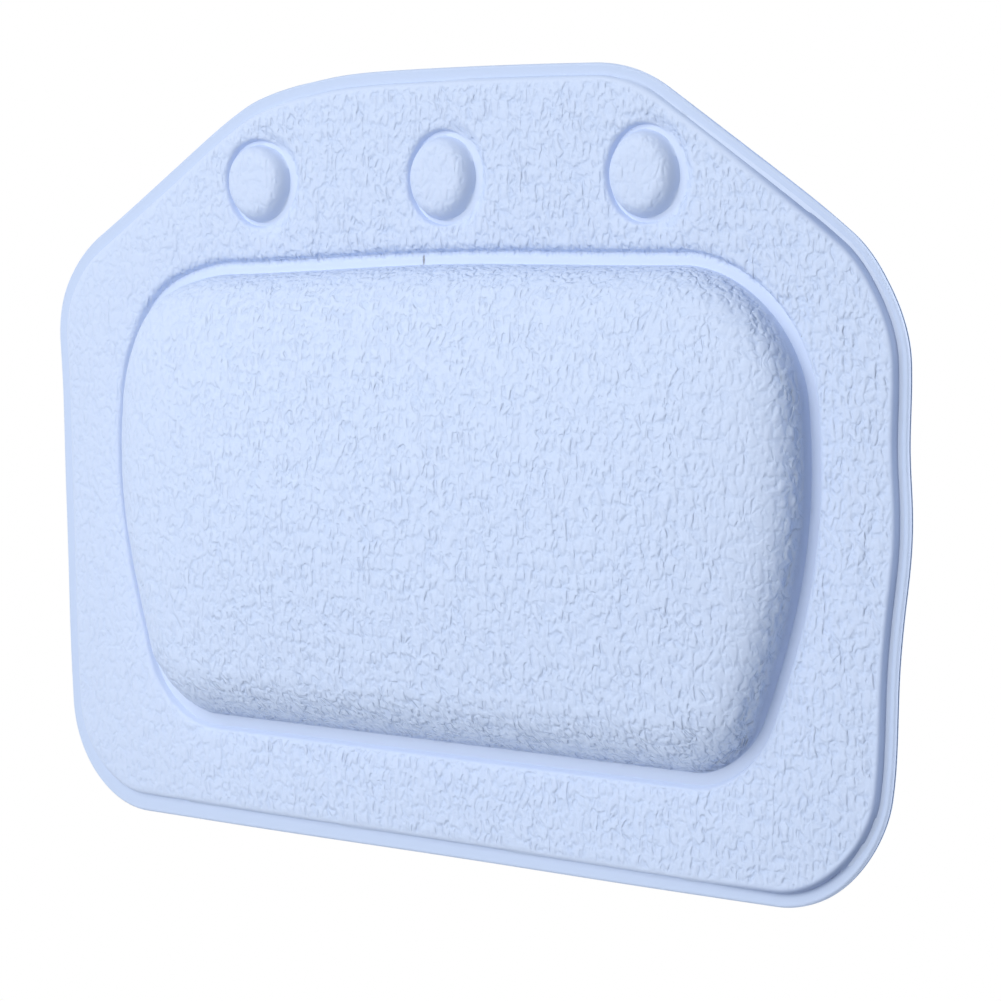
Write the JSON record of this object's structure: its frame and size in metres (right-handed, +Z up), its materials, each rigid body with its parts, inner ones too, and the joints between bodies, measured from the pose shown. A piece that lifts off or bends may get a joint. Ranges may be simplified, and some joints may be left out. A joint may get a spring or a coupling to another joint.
{
  "type": "bath pillow",
  "caption": "Padded vinyl pillow with a raised rounded headrest panel in a flat padded border, hung from suction cups behind its top flap.",
  "frame": {"origin": "centre of the middle suction cup's mouth, in the plane of the tub wall that the cups hold on to", "axes": "+X to the right as seen from the front, +Y to the wall behind the pillow (the padded front faces -Y), +Z up"},
  "size_m": [0.33, 0.0351, 0.2296],
  "materials": {
    "embossed_vinyl": "matte",
    "back_vinyl": "satin",
    "sponge": "matte",
    "washer_vinyl": "satin",
    "clear_vinyl": "gloss"
  },
  "bodies": {
    "pillow": {"front_cover": "embossed_vinyl", "back_cover": "back_vinyl", "headrest_core": "sponge", "border_padding": "sponge", "button_pad_left": "sponge", "button_pad_middle": "sponge", "button_pad_right": "sponge", "cup_washer_left": "washer_vinyl", "cup_washer_middle": "washer_vinyl", "cup_washer_right": "washer_vinyl"},
    "cup_left": {"suction_cup_left": "clear_vinyl"},
    "cup_middle": {"suction_cup_middle": "clear_vinyl"},
    "cup_right": {"suction_cup_right": "clear_vinyl"}
  },
  "joints": [
    {"name": "cup_left_swivel", "type": "hinge", "parent": "pillow", "child": "cup_left", "pos_m": [-0.075, 0, 0], "axis": [0, 1, 0], "continuous": true},
    {"name": "cup_middle_swivel", "type": "hinge", "parent": "pillow", "child": "cup_middle", "pos_m": [0, 0, 0], "axis": [0, 1, 0], "continuous": true},
    {"name": "cup_right_swivel", "type": "hinge", "parent": "pillow", "child": "cup_right", "pos_m": [0.075, 0, 0], "axis": [0, 1, 0], "continuous": true}
  ]
}
